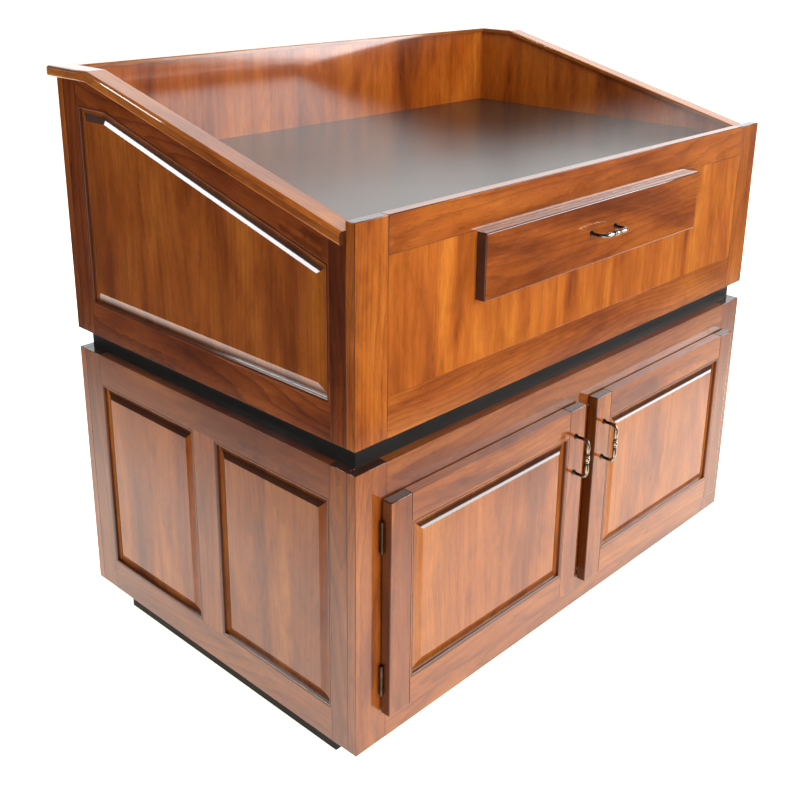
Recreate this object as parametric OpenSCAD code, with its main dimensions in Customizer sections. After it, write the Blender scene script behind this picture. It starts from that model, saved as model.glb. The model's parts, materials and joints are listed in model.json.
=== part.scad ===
// Wooden pulpit: a lower cabinet with two overlay doors, a recessed black band,
// and an upper body with one drawer under a flat worksurface inside sloping walls.
// Origin: centre of the footprint, on the floor. +X right, +Y towards the listeners, +Z up.
// The speaker stands at -Y, where the doors and the drawer are.

/* [Body] */
// Width across the two side walls
body_w = 1220; // [1180:1:1300]
// Depth from the face frame's front to the back wall's outside
body_d = 782; // [760:1:860]
// Height of the recessed plinth under the lower cabinet
plinth_h = 76; // [64:1:100]
// Height of the lower cabinet
lower_h = 526; // [500:1:560]
// Height of the recessed black band between the two bodies
reveal_h = 40; // [25:1:60]
// Height of the upper body's front
front_h = 360; // [340:1:400]
// Height of the upper body's back wall, up to the underside of its cap
rear_h = 490; // [470:1:540]
// Height of the worksurface above the upper body's lower edge
work_h = 332; // [320:1:340]
// Slope of the side walls' tops, in degrees
slope = 14.3; // [13:0.1:16]
// Length of the level stretch at the back of each side wall
level_l = 115; // [90:1:140]

/* [Boards] */
// Thickness of frame boards, floors and the worksurface
board_t = 19; // [18:0.5:20]
// Thickness of the plywood lining inside the upper body
lining_t = 6; // [4:0.5:8]
// Width of the corner stiles on the front
stile_w = 70; // [60:1:80]
// Thickness of the doors
door_t = 20; // [19:0.5:22]
// How far doors and drawer lap over their openings
overlay = 12.7; // [9:0.1:16]
// Width of the door frames' boards
door_board_w = 57; // [50:1:64]

/* [Cap moulding] */
// Thickness of the cap moulding
cap_t = 20; // [16:1:22]
// Overhang of the cap outside the walls
cap_out = 12; // [8:1:18]
// Overhang of the cap inside the walls
cap_in = 5; // [2:1:8]

/* [Drawer] */
// Width of the drawer front
drawer_w = 672; // [600:1:720]
// Height of the drawer front
drawer_h = 116; // [112:1:118]
// Length of the drawer's slides
slide_l = 450; // [400:10:500]

/* [Pulls] */
// Distance between the centres of a pull's two posts
pull_c = 76; // [64:1:96]
// Distance from the door to the middle of the grip
pull_out = 28.5; // [24:0.5:32]

/* [Hidden] */
$fn = 48;

// Colours
cherry = [0.58, 0.27, 0.11];
ply = [0.72, 0.53, 0.34];
black = [0.08, 0.08, 0.08];
bronze = [0.42, 0.34, 0.26];
zinc = [0.72, 0.73, 0.74];

// Heights above the floor
lower_z = plinth_h;
lower_top_z = lower_z + lower_h;
upper_z = lower_top_z + reveal_h;
front_top_z = upper_z + front_h;
wall_top_z = upper_z + rear_h;
work_z = upper_z + work_h;

// Plinth
toe_front = 100;
toe_side = 48;
toe_rear = 44;

// Lower cabinet front
centre_stile_w = 63;
lower_rail_bottom = 72;
lower_rail_top = 73;
floor_top_z = lower_z + lower_rail_bottom;
opening_top_z = lower_top_z - lower_rail_top;
centre_x0 = (body_w - centre_stile_w) / 2;
centre_x1 = (body_w + centre_stile_w) / 2;

// Frame-and-panel walls: u runs across a wall from its left end, seen from outside
side_len = body_d - 2 * board_t;
lower_side_bottom = 70;
lower_side_top = 66;
lower_side_rear = 56;
lower_side_centre = 72;
lower_side_front = 46;
upper_side_rear = 48;
upper_side_front = 43;
upper_side_bottom = 70;
window_top = 439;
window_front_top = 283;
window_kink = 129;
back_stile = 75;
back_mullion = 72;
upper_back_rail = 70;
upper_back_top = 51;

// Joinery: a groove runs round every panel opening, and rails have stub tenons in it
groove_y = 6.4;
groove_w = 6.4;
groove_d = 10;
tongue = 8;
tongue_play = 0.1;
tenon = 9.5;
bevel_w = 21;
field_face = 1.4;

// Fronts and doors
door_gap = 2;
door_z0 = floor_top_z - overlay;
door_z1 = opening_top_z + overlay;
left_x0 = stile_w - overlay;
left_x1 = centre_x0 + overlay;
pull_z = door_z1 - 95;
pull_x = left_x1 - door_board_w / 2;
pull_bead = 5;
post_r = 3.6;
pull_screw_r = 2;
screw_bite = 10;

// Hinges: the pin stands beside the door's edge
hinge_off = 3.4;
hinge_x = left_x0 - hinge_off;
hinge_y = -6;
hinge_half = 28;
hinge_inset = 67;
knuckle_r = 3;
pin_r = 1.25;
leaf_t = 0.9;
leaf_wrap = 18;
door_leaf_w = 34;
hinge_screw_r = 1.9;

// Drawer
drawer_x0 = (body_w - drawer_w) / 2;
drawer_z1 = front_top_z - 64;
drawer_z0 = drawer_z1 - drawer_h;
drawer_gap = 0.5;
hole_x0 = drawer_x0 + overlay + 0.3;
hole_x1 = body_w - hole_x0;
hole_z0 = drawer_z0 + 13;
hole_z1 = drawer_z1 - 13;
slide_t = 13;
box_x0 = hole_x0 + slide_t;
box_x1 = hole_x1 - slide_t;
box_z0 = hole_z0 + 7;
box_h = 74;
box_t = 12;
box_y1 = 456.5;
box_bottom_t = 6;
box_bottom_z = box_z0 + 12;
slide_z = box_z0 + box_h / 2;
sheet_t = 1.2;

// The whole part is modelled from the front left corner of the face frame
pull_reach = door_gap + door_t + pull_out + pull_bead;
face_y = (pull_reach - body_d - cap_out) / 2;

module place() {
    translate([-body_w / 2, face_y, 0])
        children();
}

module both_sides() {
    children();
    translate([body_w, 0, 0])
        mirror([1, 0, 0])
            children();
}

// A box from its two opposite corners
module slab(low, high) {
    translate(low)
        cube(high - low);
}

// An outline in X and Z, thickened along +Y
module upright(outline, y0, y1) {
    translate([0, y1, 0])
        rotate([90, 0, 0])
            linear_extrude(y1 - y0)
                polygon(outline);
}

module rod_x(x0, x1, y, z, r) {
    translate([x0, y, z])
        rotate([0, 90, 0])
            cylinder(r = r, h = x1 - x0);
}

module rod_y(x, y0, y1, z, r) {
    translate([x, y1, z])
        rotate([90, 0, 0])
            cylinder(r = r, h = y1 - y0);
}

module rod_z(x, y, z0, z1, r) {
    translate([x, y, z0])
        cylinder(r = r, h = z1 - z0);
}

// ---- Walls: each is built flat, outer face at y = 0, and then stood in its place ----

module left_wall() {
    translate([0, body_d - board_t, 0])
        rotate([0, 0, -90])
            children();
}

module right_wall() {
    translate([body_w, 0, 0])
        mirror([1, 0, 0])
            left_wall()
                children();
}

module back_wall() {
    translate([body_w, body_d, 0])
        rotate([0, 0, 180])
            children();
}

// The groove that holds a panel, as deep as groove_d into the boards round its opening
module groove(x0, x1, z0, z1) {
    slab([x0 - groove_d, groove_y, z0 - groove_d], [x1 + groove_d, groove_y + groove_w, z1 + groove_d]);
}

module tenon_at(x0, x1, z0, z1) {
    slab([x0, groove_y + tongue_play, z0], [x1, groove_y + groove_w - tongue_play, z1]);
}

// A stile grooved along its full length, on the right, the left or both edges
module stile(x0, x1, z0, z1, on_left, on_right) {
    difference() {
        slab([x0, 0, z0], [x1, board_t, z1]);
        if (on_right)
            slab([x1 - groove_d, groove_y, z0 - 1], [x1 + 1, groove_y + groove_w, z1 + 1]);
        if (on_left)
            slab([x0 - 1, groove_y, z0 - 1], [x0 + groove_d, groove_y + groove_w, z1 + 1]);
    }
}

// A rail grooved along its top or bottom edge, with a stub tenon at each end
module rail(x0, x1, z0, z1, groove_on_top) {
    tenon_z0 = groove_on_top ? z0 : z0 + groove_d;
    tenon_z1 = groove_on_top ? z1 - groove_d : z1;
    cut_z0 = groove_on_top ? z1 - groove_d : z0 - 1;
    cut_z1 = groove_on_top ? z1 + 1 : z0 + groove_d;
    difference() {
        slab([x0, 0, z0], [x1, board_t, z1]);
        slab([x0 - 1, groove_y, cut_z0], [x1 + 1, groove_y + groove_w, cut_z1]);
    }
    tenon_at(x0 - tenon, x0, tenon_z0, tenon_z1);
    tenon_at(x1, x1 + tenon, tenon_z0, tenon_z1);
}

// One edge of a raised panel: d is measured inwards from the opening's edge,
// and the section is the tongue, the bevel and the raised field.
module panel_edge(from, to, reach) {
    along = to - from;
    len = norm(along);
    turn = atan2(along[1], along[0]);
    back = groove_y + groove_w - tongue_play;
    face = groove_y + tongue_play;
    translate([from[0], 0, from[1]])
        rotate([0, -turn, 0])
            translate([-reach, 0, 0])
                rotate([90, 0, 90])
                    linear_extrude(len + 2 * reach)
                        polygon([[face, -tongue], [face, 1], [field_face, bevel_w],
                                 [field_face, reach], [back, reach], [back, -tongue]]);
}

// A raised panel for an opening whose corners run anticlockwise, seen from outside
module raised_panel(corners) {
    n = len(corners);
    reach = 900;
    intersection_for (i = [0 : n - 1])
        panel_edge(corners[i], corners[(i + 1) % n], reach);
}

function box_corners(x0, x1, z0, z1) = [[x0, z0], [x1, z0], [x1, z1], [x0, z1]];

// ---- Base ----

module plinth_board(low, high) {
    slab(concat(low, 0), concat(high, floor_top_z - board_t));
}

module plinth_frame() {
    color(black)
        place() {
            both_sides()
                plinth_board([toe_side, toe_front], [toe_side + board_t, body_d - toe_rear]);
            plinth_board([toe_side + board_t, toe_front],
                         [body_w - toe_side - board_t, toe_front + board_t]);
            plinth_board([toe_side + board_t, body_d - toe_rear - board_t],
                         [body_w - toe_side - board_t, body_d - toe_rear]);
        }
}

// ---- Lower cabinet ----

module lower_floor() {
    color(ply)
        place()
            slab([board_t, board_t, floor_top_z - board_t],
                 [body_w - board_t, body_d - board_t, floor_top_z]);
}

module lower_top() {
    color(cherry)
        place()
            difference() {
                slab([board_t, board_t, lower_top_z - board_t],
                     [body_w - board_t, body_d - board_t, lower_top_z]);
                section_bolt_holes();
            }
}

// Two stiles, a centre stile and two rails, with plain edges
module lower_front_frame() {
    color(cherry)
        place()
            difference() {
                union() {
                    both_sides()
                        slab([0, 0, lower_z], [stile_w, board_t, lower_top_z]);
                    slab([stile_w, 0, lower_z], [body_w - stile_w, board_t, floor_top_z]);
                    slab([stile_w, 0, opening_top_z], [body_w - stile_w, board_t, lower_top_z]);
                    slab([centre_x0, 0, floor_top_z], [centre_x1, board_t, opening_top_z]);
                }
                both_sides()
                    for (z = frame_screw_heights)
                        rod_x(48, stile_w + 1, 11, z, hinge_screw_r + 0.05);
            }
}

lower_u1 = lower_side_rear;
lower_u4 = side_len - lower_side_front;
lower_u2 = (lower_u1 + lower_u4 - lower_side_centre) / 2;
lower_u3 = lower_u2 + lower_side_centre;
lower_v0 = lower_z + lower_side_bottom;
lower_v1 = lower_top_z - lower_side_top;

module lower_side_frame() {
    stile(0, lower_u1, lower_z, lower_top_z, false, true);
    stile(lower_u4, side_len, lower_z, lower_top_z, true, false);
    rail(lower_u1, lower_u4, lower_z, lower_v0, true);
    rail(lower_u1, lower_u4, lower_v1, lower_top_z, false);
    stile(lower_u2, lower_u3, lower_v0, lower_v1, true, true);
    tenon_at(lower_u2 + groove_d, lower_u3 - groove_d, lower_v0 - tenon, lower_v0);
    tenon_at(lower_u2 + groove_d, lower_u3 - groove_d, lower_v1, lower_v1 + tenon);
}

module lower_side_panels() {
    raised_panel(box_corners(lower_u1, lower_u2, lower_v0, lower_v1));
    raised_panel(box_corners(lower_u3, lower_u4, lower_v0, lower_v1));
}

shelf_z = lower_z + 265;
shelf_pin_r = 2.5;
pin_front_y = board_t + 24;
pin_rear_y = body_d - board_t - 26;

// The holes for the shelf pins, in the side walls and the partition
module shelf_pin_holes() {
    both_sides()
        for (y = [pin_front_y, pin_rear_y]) {
            rod_x(board_t - 9, board_t + 1, y, shelf_z - shelf_pin_r, shelf_pin_r + 0.05);
            rod_x((body_w - board_t) / 2 - 1, (body_w - board_t) / 2 + 9, y,
                  shelf_z - shelf_pin_r, shelf_pin_r + 0.05);
        }
}

module lower_left_frame() {
    color(cherry)
        place()
            difference() {
                left_wall()
                    lower_side_frame();
                shelf_pin_holes();
            }
}

module lower_left_panels() {
    color(cherry)
        place()
            left_wall()
                lower_side_panels();
}

module lower_right_frame() {
    color(cherry)
        place()
            difference() {
                right_wall()
                    lower_side_frame();
                shelf_pin_holes();
            }
}

module lower_right_panels() {
    color(cherry)
        place()
            right_wall()
                lower_side_panels();
}

back_n = 3;
back_bay = (body_w - 2 * back_stile - (back_n - 1) * back_mullion) / back_n;

module lower_back_frame() {
    color(cherry)
        place()
            back_wall() {
                stile(0, back_stile, lower_z, lower_top_z, false, true);
                stile(body_w - back_stile, body_w, lower_z, lower_top_z, true, false);
                rail(back_stile, body_w - back_stile, lower_z, lower_v0, true);
                rail(back_stile, body_w - back_stile, lower_v1, lower_top_z, false);
                for (i = [1 : back_n - 1]) {
                    x0 = back_stile + i * back_bay + (i - 1) * back_mullion;
                    stile(x0, x0 + back_mullion, lower_v0, lower_v1, true, true);
                    tenon_at(x0 + groove_d, x0 + back_mullion - groove_d, lower_v0 - tenon, lower_v0);
                    tenon_at(x0 + groove_d, x0 + back_mullion - groove_d, lower_v1, lower_v1 + tenon);
                }
            }
}

module lower_back_panels() {
    color(cherry)
        place()
            back_wall()
                for (i = [0 : back_n - 1]) {
                    x0 = back_stile + i * (back_bay + back_mullion);
                    raised_panel(box_corners(x0, x0 + back_bay, lower_v0, lower_v1));
                }
}

module centre_partition() {
    color(ply)
        place()
            difference() {
                slab([(body_w - board_t) / 2, board_t, floor_top_z],
                     [(body_w + board_t) / 2, body_d - board_t, lower_top_z - board_t]);
                shelf_pin_holes();
            }
}

module shelf() {
    slab([board_t + 1, board_t + 12, shelf_z],
         [(body_w - board_t) / 2 - 1, body_d - board_t - 12, shelf_z + board_t]);
}

module left_shelf() {
    color(ply)
        place()
            shelf();
}

module right_shelf() {
    color(ply)
        place()
            translate([body_w, 0, 0])
                mirror([1, 0, 0])
                    shelf();
}

module shelf_pins() {
    color(zinc)
        place()
            both_sides()
                for (y = [pin_front_y, pin_rear_y]) {
                    rod_x(board_t - 8.5, board_t + 9, y, shelf_z - shelf_pin_r, shelf_pin_r);
                    rod_x((body_w - board_t) / 2 - 9, (body_w - board_t) / 2 + 8.5, y,
                          shelf_z - shelf_pin_r, shelf_pin_r);
                }
}

// ---- Black band between the bodies, and the bolts that join them ----

module reveal_frame() {
    inner = 2 * board_t;
    color(black)
        place() {
            both_sides()
                slab([board_t, board_t, lower_top_z], [inner, body_d - board_t, upper_z]);
            slab([inner, board_t, lower_top_z], [body_w - inner, inner, upper_z]);
            slab([inner, body_d - inner, lower_top_z], [body_w - inner, body_d - board_t, upper_z]);
        }
}

bolt_r = 4;
bolt_spots = [for (x = [80, body_w - 80]) for (y = [60, body_d / 2, body_d - 60]) [x, y]];

module section_bolt_holes() {
    for (s = bolt_spots)
        rod_z(s[0], s[1], lower_top_z - board_t - 1, upper_z + board_t + 1, bolt_r + 0.5);
}

module section_bolts() {
    color(zinc)
        place()
            for (s = bolt_spots)
                translate([s[0], s[1], 0]) {
                    rod_z(0, 0, lower_top_z - board_t - 9, upper_z + board_t + 1, bolt_r);
                    translate([0, 0, upper_z + board_t])
                        cylinder(r = 7.5, h = 5.5, $fn = 6);
                    translate([0, 0, lower_top_z - board_t - 6.5])
                        cylinder(r = 7.5, h = 6.5, $fn = 6);
                }
}

// ---- Upper body ----

module upper_floor() {
    color(ply)
        place()
            difference() {
                slab([board_t, board_t, upper_z],
                     [body_w - board_t, body_d - board_t, upper_z + board_t]);
                section_bolt_holes();
            }
}

upper_front_top = 62;
upper_front_bottom = 71;

module upper_front_frame() {
    color(cherry)
        place() {
            both_sides()
                slab([0, 0, upper_z], [stile_w, board_t, front_top_z]);
            slab([stile_w, 0, upper_z], [body_w - stile_w, board_t, upper_z + upper_front_bottom]);
            slab([stile_w, 0, front_top_z - upper_front_top], [body_w - stile_w, board_t, front_top_z]);
        }
}

// The flush panel between the front rails, with the drawer's opening
module upper_front_panel() {
    color(cherry)
        place()
            difference() {
                slab([stile_w, 0, upper_z + upper_front_bottom],
                     [body_w - stile_w, board_t, front_top_z - upper_front_top]);
                slab([hole_x0, -1, hole_z0], [hole_x1, board_t + 1, hole_z1]);
            }
}

// Outline of the side walls: level at the back, then sloping down to the front
side_kink_u = level_l - board_t;
function slope_z(u) = wall_top_z - max(0, u - side_kink_u) * tan(slope);

window_u0 = upper_side_rear;
window_u1 = side_len - upper_side_front;
window_v0 = upper_z + upper_side_bottom;
window_corners = [[window_u0, window_v0], [window_u1, window_v0],
                  [window_u1, upper_z + window_front_top],
                  [window_kink, upper_z + window_top], [window_u0, upper_z + window_top]];

// The groove round the five-sided window, as one slab
module window_groove() {
    low = window_v0 - groove_d;
    front_top = upper_z + window_front_top;
    top = upper_z + window_top;
    rise = (top - front_top) / (window_u1 - window_kink);
    upright([[window_u0 - groove_d, low], [window_u1 + groove_d, low],
             [window_u1 + groove_d, front_top + groove_d - rise * groove_d],
             [window_kink, top + groove_d], [window_u0 - groove_d, top + groove_d]],
            groove_y, groove_y + groove_w);
}

module upper_side_frame() {
    front_top = upper_z + window_front_top;
    top = upper_z + window_top;
    difference() {
        union() {
            slab([0, 0, upper_z], [window_u0, board_t, wall_top_z]);
            upright([[window_u1, upper_z], [side_len, upper_z],
                     [side_len, slope_z(side_len)], [window_u1, slope_z(window_u1)]], 0, board_t);
            slab([window_u0, 0, upper_z], [window_u1, board_t, window_v0]);
            upright([[window_u0, top], [window_kink, top], [window_u1, front_top],
                     [window_u1, slope_z(window_u1)], [side_kink_u, wall_top_z],
                     [window_u0, wall_top_z]], 0, board_t);
        }
        window_groove();
    }
}

module upper_left_frame() {
    color(cherry)
        place()
            left_wall()
                upper_side_frame();
}

module upper_left_panel() {
    color(cherry)
        place()
            left_wall()
                raised_panel(window_corners);
}

module upper_right_frame() {
    color(cherry)
        place()
            right_wall()
                upper_side_frame();
}

module upper_right_panel() {
    color(cherry)
        place()
            right_wall()
                raised_panel(window_corners);
}

module upper_back_frame() {
    z1 = wall_top_z - upper_back_top;
    color(cherry)
        place()
            back_wall() {
                stile(0, back_stile, upper_z, wall_top_z, false, true);
                stile(body_w - back_stile, body_w, upper_z, wall_top_z, true, false);
                rail(back_stile, body_w - back_stile, upper_z, upper_z + upper_back_rail, true);
                rail(back_stile, body_w - back_stile, z1, wall_top_z, false);
            }
}

module upper_back_panel() {
    color(cherry)
        place()
            back_wall()
                raised_panel(box_corners(back_stile, body_w - back_stile,
                                         upper_z + upper_back_rail, wall_top_z - upper_back_top));
}

lining_z0 = upper_z + board_t;
cap_lap = 12;

// The linings stand cap_lap higher than the walls, in a rabbet of the cap moulding
module side_lining() {
    left_wall()
        upright([[lining_t, lining_z0], [side_len, lining_z0],
                 [side_len, slope_z(side_len) + cap_lap / cos(slope)],
                 [side_kink_u + cap_lap * tan(slope / 2), wall_top_z + cap_lap],
                 [lining_t, wall_top_z + cap_lap]],
                board_t, board_t + lining_t);
}

module left_lining() {
    color(cherry)
        place()
            side_lining();
}

module right_lining() {
    color(cherry)
        place()
            translate([body_w, 0, 0])
                mirror([1, 0, 0])
                    side_lining();
}

module back_lining() {
    color(cherry)
        place()
            slab([board_t, body_d - board_t - lining_t, lining_z0],
                 [body_w - board_t, body_d - board_t, wall_top_z + cap_lap]);
}

wall_t = board_t + lining_t;

module worksurface() {
    color(black)
        place()
            slab([wall_t, board_t, work_z - board_t],
                 [body_w - wall_t, body_d - wall_t, work_z]);
}

hanger_x0 = hole_x0 - board_t;
hanger_l = 481;

module worksurface_cleats() {
    z0 = work_z - 2 * board_t;
    z1 = work_z - board_t;
    back_y = body_d - wall_t;
    color(ply)
        place() {
            both_sides() {
                slab([wall_t, 2 * board_t, z0], [wall_t + board_t, back_y - board_t, z1]);
                slab([wall_t, board_t, z0], [hanger_x0, 2 * board_t, z1]);
            }
            slab([hole_x0, board_t, z0], [hole_x1, 2 * board_t, z1]);
            slab([wall_t, back_y - board_t, z0], [body_w - wall_t, back_y, z1]);
        }
}

// ---- Cap moulding ----

cap_w = cap_out + wall_t + cap_in;
cap_round = 6;

// Section of the moulding: both outer edges rounded, in short flats, and a rabbet inside
round_steps = 6;
function round_at(z, from) = [for (i = [0 : round_steps]) let (a = from + i * 90 / round_steps)
                              [cap_round - cap_out + cap_round * cos(a), z + cap_round * sin(a)]];
cap_outline = concat(round_at(cap_t - cap_round, 90), round_at(cap_round, 180),
                     [[board_t, 0], [board_t, cap_lap], [wall_t + cap_in, cap_lap],
                      [wall_t + cap_in, cap_t]]);

module cap_section() {
    polygon(cap_outline);
}

module cap_run(len) {
    rotate([90, 0, 0])
        linear_extrude(len)
            cap_section();
}

// A block whose front face leans back by half the slope, at the kink
module kink_block(y0, y1) {
    translate([0, body_d - level_l, wall_top_z])
        rotate([slope / 2, 0, 0])
            slab([-100, y0, -100], [200, y1, 100]);
}

// Two lengths, glued at a mitre where the wall's top starts to slope
module side_cap() {
    far = 1500;
    intersection() {
        translate([0, body_d + cap_out, wall_top_z])
            cap_run(level_l + cap_out + 60);
        kink_block(0.01, 400);
        mitre_keep(far);
    }
    difference() {
        translate([0, body_d - level_l, wall_top_z])
            rotate([slope, 0, 0])
                translate([0, 60, 0])
                    cap_run(body_d);
        kink_block(-0.01, 400);
        slab([-100, -far, 0], [200, board_t, 2 * far]);
    }
}

// The part of the left wall's top that lies in front of the mitre at the back corner
module mitre_keep(far) {
    linear_extrude(far)
        polygon([[-cap_out, body_d + cap_out], [cap_w, body_d - cap_w],
                 [cap_w, -far], [-far, -far], [-far, body_d + cap_out]]);
}

module left_cap() {
    color(cherry)
        place()
            side_cap();
}

module right_cap() {
    color(cherry)
        place()
            translate([body_w, 0, 0])
                mirror([1, 0, 0])
                    side_cap();
}

module rear_cap() {
    color(cherry)
        place()
            intersection() {
                translate([-cap_out, body_d, wall_top_z])
                    rotate([0, 0, -90])
                        translate([0, body_w + 2 * cap_out, 0])
                            cap_run(body_w + 2 * cap_out);
                linear_extrude(wall_top_z + 100)
                    polygon([[-cap_out, body_d + cap_out], [cap_w, body_d - cap_w],
                             [body_w - cap_w, body_d - cap_w],
                             [body_w + cap_out, body_d + cap_out]]);
            }
}

// ---- Drawer ----

module drawer_hangers() {
    color(ply)
        place()
            both_sides()
                slab([hanger_x0, board_t, hole_z0 - 5],
                     [hole_x0, board_t + hanger_l, work_z - board_t]);
}

// A sheet-metal channel: the web at x0, the flanges reaching to x1, half as high as half_h
module channel(x0, x1, half_h, y0) {
    web_x = x0 < x1 ? x0 : x0 - sheet_t;
    low = min(x0, x1);
    high = max(x0, x1);
    slab([web_x, y0, slide_z - half_h], [web_x + sheet_t, y0 + slide_l, slide_z + half_h]);
    slab([low, y0, slide_z + half_h - sheet_t], [high, y0 + slide_l, slide_z + half_h]);
    slab([low, y0, slide_z - half_h], [high, y0 + slide_l, slide_z - half_h + sheet_t]);
}

module cabinet_slide_members() {
    color(zinc)
        place()
            both_sides()
                channel(hole_x0, hole_x0 + 9, 22.5, board_t + 2);
}

module middle_slide_members() {
    color(zinc)
        place()
            both_sides()
                channel(hole_x0 + 3, hole_x0 + 11.4, 18.5, board_t - 7);
}

module drawer_slide_members() {
    color(zinc)
        place()
            both_sides()
                channel(box_x0, box_x0 - 7.5, 14, 5);
}

drawer_y0 = -drawer_gap - board_t;

module drawer_pull_holes() {
    for (s = [-1, 1])
        rod_y(body_w / 2 + s * pull_c / 2, drawer_y0 - 1, box_t + 1, drawer_pull_z, pull_screw_r + 0.25);
}

drawer_pull_z = (drawer_z0 + drawer_z1) / 2 + 1;

module drawer_front() {
    color(cherry)
        place()
            difference() {
                slab([drawer_x0, drawer_y0, drawer_z0],
                     [drawer_x0 + drawer_w, -drawer_gap, drawer_z1]);
                drawer_pull_holes();
            }
}

// The groove in the drawer box that holds its bottom
module bottom_groove() {
    slab([box_x0 + box_t - 6, -drawer_gap + box_t - 6, box_bottom_z - 0.1],
         [box_x1 - box_t + 6, box_y1 - box_t + 6, box_bottom_z + box_bottom_t + 0.1]);
}

module drawer_sides() {
    color(ply)
        place()
            difference() {
                both_sides()
                    slab([box_x0, -drawer_gap, box_z0], [box_x0 + box_t, box_y1, box_z0 + box_h]);
                bottom_groove();
            }
}

module drawer_box_front() {
    color(ply)
        place()
            difference() {
                slab([box_x0 + box_t, -drawer_gap, box_z0],
                     [box_x1 - box_t, -drawer_gap + box_t, box_z0 + box_h]);
                bottom_groove();
                drawer_pull_holes();
            }
}

module drawer_box_back() {
    color(ply)
        place()
            difference() {
                slab([box_x0 + box_t, box_y1 - box_t, box_z0],
                     [box_x1 - box_t, box_y1, box_z0 + box_h]);
                bottom_groove();
            }
}

module drawer_bottom() {
    color(ply)
        place()
            slab([box_x0 + box_t - 5.5, -drawer_gap + box_t - 5.5, box_bottom_z],
                 [box_x1 - box_t + 5.5, box_y1 - box_t + 5.5, box_bottom_z + box_bottom_t]);
}

// ---- Pulls ----

// Half of the grip's outline, from a post to the ringed middle: [distance from the middle, radius]
grip_half = [[pull_c / 2, 3.3], [27, 4.1], [19, 4.3], [9, 3.4], [7.2, 3.4], [7.2, 4.5], [5.2, 4.5],
             [5.2, 3.7], [3.8, 3.7], [3.8, pull_bead]];
grip_outline = concat([[0, -pull_c / 2]],
                      [for (p = grip_half) [p[1], -p[0]]],
                      [for (i = [len(grip_half) - 1 : -1 : 0]) [grip_half[i][1], grip_half[i][0]]],
                      [[0, pull_c / 2]]);

// A bow pull, standing off a face at y = 0, with its posts one above the other
module bow_pull() {
    difference() {
        union() {
            for (s = [-1, 1])
                translate([0, 0, s * pull_c / 2]) {
                    rod_y(0, -pull_out, 0, 0, post_r);
                    rod_y(0, -2.5, 0, 0, post_r + 2);
                    translate([0, -pull_out, 0])
                        sphere(r = post_r + 0.5);
                }
            translate([0, -pull_out, 0])
                rotate_extrude()
                    polygon(grip_outline);
        }
        for (s = [-1, 1])
            rod_y(0, -screw_bite - 1, 1, s * pull_c / 2, pull_screw_r + 0.05);
    }
}

// A machine screw whose head sits on the face at head_y and whose point reaches tip_y
module pull_screw(x, head_y, tip_y, z) {
    rod_y(x, tip_y, head_y + 0.5, z, pull_screw_r);
    rod_y(x, head_y, head_y + 2.2, z, 4);
}

module drawer_pull() {
    color(bronze)
        place()
            translate([body_w / 2, drawer_y0, drawer_pull_z])
                rotate([0, 90, 0])
                    bow_pull();
}

module drawer_pull_screws() {
    color(zinc)
        place()
            for (s = [-1, 1])
                pull_screw(body_w / 2 + s * pull_c / 2, box_t - drawer_gap,
                           drawer_y0 - screw_bite, drawer_pull_z);
}

// ---- Hinges ----

hinge_heights = [door_z0 + hinge_inset, door_z1 - hinge_inset];
screw_offsets = [-16, 16];
frame_screw_heights = [for (z = hinge_heights) for (s = screw_offsets) z + s];
door_screw_x = stile_w + 12;

// A knuckle of the hinge, with its tab back to the leaf
module knuckle(z0, z1, tab_y, bore_r) {
    difference() {
        union() {
            rod_z(hinge_x, hinge_y, z0, z1, knuckle_r);
            slab([hinge_x - 0.6, hinge_y + 1.6, z0], [hinge_x + 0.6, tab_y, z1]);
        }
        rod_z(hinge_x, hinge_y, z0 - 1, z1 + 1, bore_r);
    }
}

knuckle_z = 10;

// The leaf that wraps round the edge of the corner stile
module frame_leaf(z) {
    difference() {
        union() {
            knuckle(z - hinge_half, z - knuckle_z, -leaf_t / 2, pin_r + 0.02);
            knuckle(z + knuckle_z, z + hinge_half, -leaf_t / 2, pin_r + 0.02);
            slab([hinge_x - 0.6, -leaf_t, z - hinge_half], [stile_w + leaf_t, 0, z + hinge_half]);
            slab([stile_w, -leaf_t, z - hinge_half], [stile_w + leaf_t, leaf_wrap, z + hinge_half]);
        }
        for (s = screw_offsets)
            rod_x(stile_w - 1, stile_w + 2, 11, z + s, hinge_screw_r + 0.2);
    }
}

// The leaf screwed to the back of the door
module door_leaf(z) {
    half_k = knuckle_z - 0.3;
    difference() {
        union() {
            knuckle(z - half_k, z + half_k, -door_gap + leaf_t / 2, pin_r + 0.05);
            slab([hinge_x - 0.6, -door_gap, z - half_k], [left_x0 + 2, leaf_t - door_gap, z + half_k]);
            slab([left_x0 + 1, -door_gap, z - hinge_half],
                 [left_x0 + door_leaf_w, leaf_t - door_gap, z + hinge_half]);
        }
        for (s = screw_offsets)
            rod_y(door_screw_x, -door_gap - 1, 1, z + s, hinge_screw_r + 0.2);
    }
}

module hinge_frame_leaves() {
    color(bronze)
        place()
            both_sides()
                for (z = hinge_heights)
                    frame_leaf(z);
}

module hinge_pins() {
    color(bronze)
        place()
            both_sides()
                for (z = hinge_heights) {
                    rod_z(hinge_x, hinge_y, z - hinge_half - 1, z + hinge_half + 1, pin_r);
                    for (s = [-1, 1])
                        rod_z(hinge_x, hinge_y, z + s * (hinge_half + 1) - 0.8,
                              z + s * (hinge_half + 1) + 0.8, 2.2);
                }
}

module hinge_frame_screws() {
    color(zinc)
        place()
            both_sides()
                for (z = frame_screw_heights) {
                    rod_x(50, stile_w + leaf_t + 0.5, 11, z, hinge_screw_r);
                    rod_x(stile_w + leaf_t, stile_w + leaf_t + 1.4, 11, z, 3.4);
                }
}

// ---- Doors: the left one is modelled, and the right one is its mirror image ----

door_panel_x0 = left_x0 + door_board_w;
door_panel_x1 = left_x1 - door_board_w;
door_panel_z0 = door_z0 + door_board_w;
door_panel_z1 = door_z1 - door_board_w;

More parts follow.
